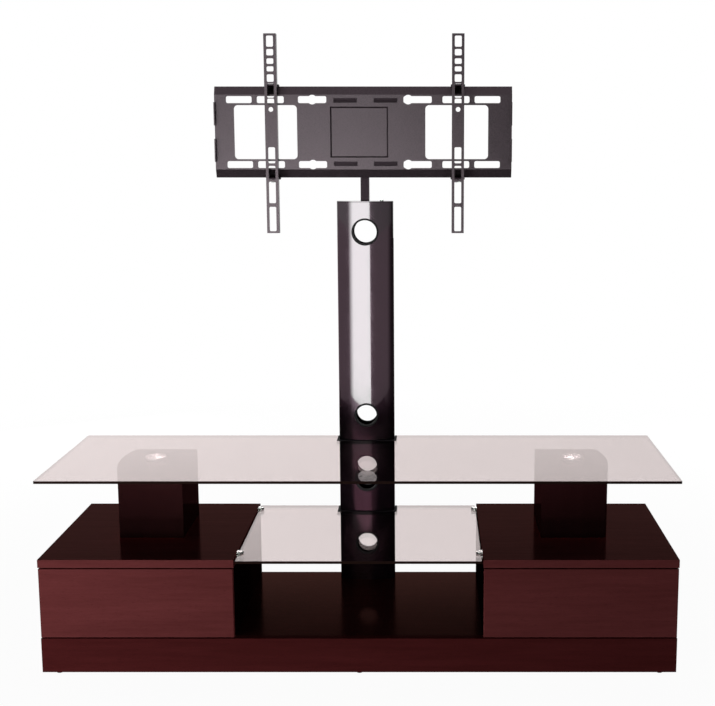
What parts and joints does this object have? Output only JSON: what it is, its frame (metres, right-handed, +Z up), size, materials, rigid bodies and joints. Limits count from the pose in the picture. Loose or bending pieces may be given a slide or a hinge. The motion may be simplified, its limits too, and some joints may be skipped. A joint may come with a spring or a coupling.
{
  "type": "television stand with mount",
  "caption": "Low media cabinet with drawers, a glass shelf and a glass top on pedestals, and a column with a mast that carries a slotted plate and arms for a screen.",
  "frame": {"origin": "middle of the footprint, on the floor", "axes": "+X to the right seen from the front, +Y to the back, +Z up"},
  "size_m": [1.4, 0.44, 1.407],
  "materials": {
    "cherry_veneer": "dark cherry, semi-gloss lacquer",
    "dark_veneer": "dark cherry, semi-gloss lacquer, in shade",
    "box_board": "foil covered board, matt",
    "tinted_glass": "bronze tinted, polished",
    "chrome": "polished",
    "satin_nickel": "satin",
    "black_plastic": "fine matt",
    "black_gloss_paint": "high gloss black",
    "dark_grey_paint": "satin powder coat",
    "black_satin_paint": "satin powder coat",
    "zinc_plate": "bright zinc"
  },
  "bodies": {
    "stand": {"base_board": "cherry_veneer", "plinth_front": "cherry_veneer", "plinth_left": "cherry_veneer", "plinth_right": "cherry_veneer", "plinth_back": "cherry_veneer", "plinth_cross_rails": "box_board", "floor_glides": "black_plastic", "left_cabinet_outer_side": "cherry_veneer", "left_cabinet_inner_side": "dark_veneer", "left_cabinet_top": "cherry_veneer", "left_cabinet_back": "dark_veneer", "left_runner_channels": "zinc_plate", "right_cabinet_outer_side": "cherry_veneer", "right_cabinet_inner_side": "dark_veneer", "right_cabinet_top": "cherry_veneer", "right_cabinet_back": "dark_veneer", "right_runner_channels": "zinc_plate", "left_pedestal": "dark_veneer", "right_pedestal": "dark_veneer", "left_glass_disc": "chrome", "right_glass_disc": "chrome", "glass_top": "tinted_glass", "glass_top_collar": "black_plastic", "glass_shelf": "tinted_glass", "glass_shelf_collar": "black_plastic", "shelf_clamps": "satin_nickel", "clamp_screws": "zinc_plate", "column_shell": "black_gloss_paint", "column_back_cover": "black_gloss_paint", "column_foot": "zinc_plate", "foot_bolts": "zinc_plate", "cable_grommets": "black_plastic", "column_cap": "black_gloss_paint", "mast_socket": "zinc_plate", "mast_lock_screw": "zinc_plate", "column_screws": "zinc_plate"},
    "left_drawer": {"left_drawer_front": "cherry_veneer", "left_drawer_sides": "box_board", "left_drawer_back": "box_board", "left_drawer_bottom": "box_board", "left_runner_rails": "zinc_plate"},
    "right_drawer": {"right_drawer_front": "cherry_veneer", "right_drawer_sides": "box_board", "right_drawer_back": "box_board", "right_drawer_bottom": "box_board", "right_runner_rails": "zinc_plate"},
    "mast": {"mast": "black_satin_paint", "mast_head": "black_satin_paint", "mast_bolts": "zinc_plate", "mount_plate": "dark_grey_paint"},
    "left_arm": {"left_arm": "dark_grey_paint", "left_arm_hooks": "black_satin_paint", "left_lock_screw": "zinc_plate"},
    "right_arm": {"right_arm": "dark_grey_paint", "right_arm_hooks": "black_satin_paint", "right_lock_screw": "zinc_plate"}
  },
  "joints": [
    {"name": "left_drawer_slide", "type": "slide", "parent": "stand", "child": "left_drawer", "axis": [0, -1, 0], "range_m": [0, 0.26]},
    {"name": "right_drawer_slide", "type": "slide", "parent": "stand", "child": "right_drawer", "axis": [0, -1, 0], "range_m": [0, 0.26]},
    {"name": "mast_lift", "type": "slide", "parent": "stand", "child": "mast", "axis": [0, 0, 1], "range_m": [-0.05, 0]},
    {"name": "left_arm_slide", "type": "slide", "parent": "mast", "child": "left_arm", "axis": [-1, 0, 0], "range_m": [-0.11, 0.11]},
    {"name": "right_arm_slide", "type": "slide", "parent": "mast", "child": "right_arm", "axis": [1, 0, 0], "range_m": [-0.118, 0.102]}
  ]
}
